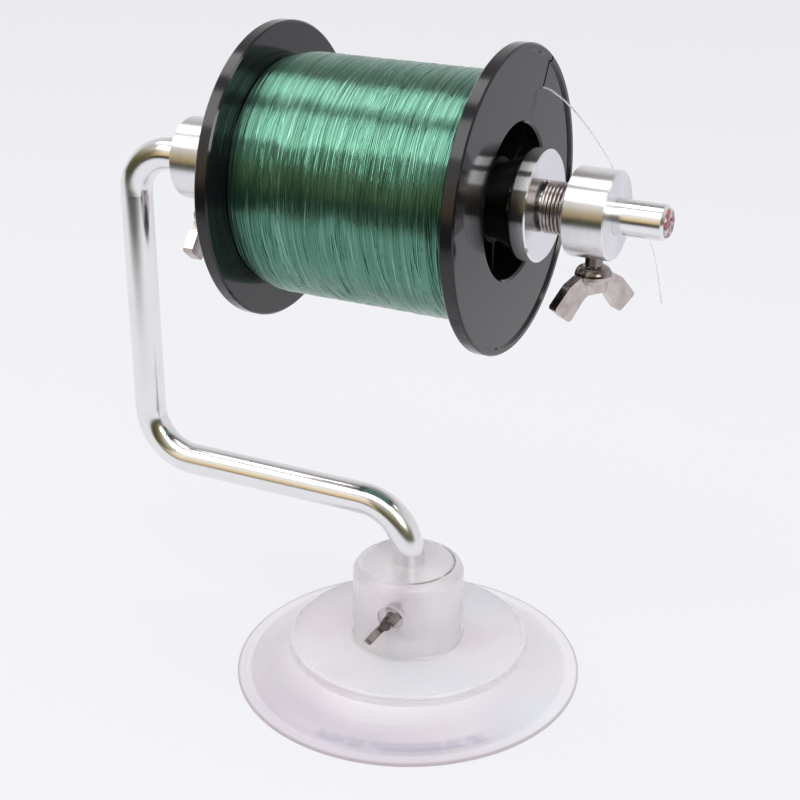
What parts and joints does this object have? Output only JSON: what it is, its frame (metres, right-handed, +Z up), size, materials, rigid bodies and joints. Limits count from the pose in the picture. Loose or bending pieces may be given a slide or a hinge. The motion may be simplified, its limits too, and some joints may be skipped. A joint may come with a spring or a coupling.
{
  "type": "spool holder stand",
  "caption": "Suction-cup stand with a bent round rod that holds a spool of line between two sprung cones and two stop collars with wing bolts.",
  "frame": {"origin": "centre of the suction cup's underside, on the surface that it stands on", "axes": "+Z up, +X along the spindle towards its free end, +Y away from the cup's wing bolt"},
  "size_m": [0.1767, 0.11, 0.2028],
  "materials": {
    "clear_pvc": "translucent soft PVC, moulded, faint lavender tint",
    "nut_steel": "plated hexagon nut",
    "bolt_steel": "dark nickel plated screw",
    "wing_metal": "nickel plated casting, satin faces",
    "rod_aluminium": "polished drawn rod",
    "turned_aluminium": "fine turned and polished",
    "spring_steel": "bright spring wire",
    "red_plastic": "soft red plastic",
    "black_plastic": "glossy injection moulded",
    "green_line": "wound nylon monofilament",
    "clear_line": "single strand of clear nylon"
  },
  "bodies": {
    "cup": {"suction_cup": "clear_pvc", "cup_nut": "nut_steel"},
    "cup_bolt": {"cup_bolt_screw": "bolt_steel", "cup_bolt_wings": "wing_metal"},
    "arm": {"arm_rod": "rod_aluminium", "rod_end_plug": "red_plastic"},
    "left_stop": {"left_collar": "turned_aluminium", "left_spring": "spring_steel"},
    "left_bolt": {"left_bolt_screw": "bolt_steel", "left_bolt_wings": "wing_metal"},
    "spool": {"spool_flange_left": "black_plastic", "spool_barrel": "black_plastic", "spool_hub": "black_plastic", "spool_flange_right": "black_plastic", "line_pack": "green_line", "line_winding": "green_line", "line_tail": "clear_line"},
    "left_centre": {"left_cone": "turned_aluminium"},
    "right_centre": {"right_cone": "turned_aluminium"},
    "right_stop": {"right_collar": "turned_aluminium", "right_spring": "spring_steel"},
    "right_bolt": {"right_bolt_screw": "bolt_steel", "right_bolt_wings": "wing_metal"}
  },
  "joints": [
    {"name": "arm_swivel", "type": "hinge", "parent": "cup", "child": "arm", "pos_m": [0, 0, 0.03], "axis": [0, 0, 1], "continuous": true},
    {"name": "cup_bolt_turn", "type": "hinge", "parent": "cup", "child": "cup_bolt", "pos_m": [0.00196, -0.01598, 0.0268], "axis": [0.1219, -0.9925, 0], "range_deg": [0, 180]},
    {"name": "left_stop_slide", "type": "slide", "parent": "arm", "child": "left_stop", "axis": [-1, 0, 0], "range_m": [0, 0.006]},
    {"name": "left_bolt_turn", "type": "hinge", "parent": "left_stop", "child": "left_bolt", "pos_m": [-0.068, 0, 0.145], "axis": [0, 0, -1], "range_deg": [0, 180]},
    {"name": "spool_spin", "type": "hinge", "parent": "arm", "child": "spool", "pos_m": [-0.006, 0, 0.1596], "axis": [1, 0, 0], "continuous": true},
    {"name": "left_centre_slide", "type": "slide", "parent": "spool", "child": "left_centre", "axis": [-1, 0, 0], "range_m": [0, 0.0015], "stiffness_N_per_m": 1200, "springref_m": -0.002, "deforming": ["left_spring"]},
    {"name": "right_centre_slide", "type": "slide", "parent": "spool", "child": "right_centre", "axis": [1, 0, 0], "range_m": [0, 0.0015], "stiffness_N_per_m": 1200, "springref_m": -0.002, "deforming": ["right_spring"]},
    {"name": "right_stop_slide", "type": "slide", "parent": "arm", "child": "right_stop", "axis": [1, 0, 0], "range_m": [0, 0.027]},
    {"name": "right_bolt_turn", "type": "hinge", "parent": "right_stop", "child": "right_bolt", "pos_m": [0.056, 0, 0.145], "axis": [0, 0, -1], "range_deg": [0, 180]}
  ]
}
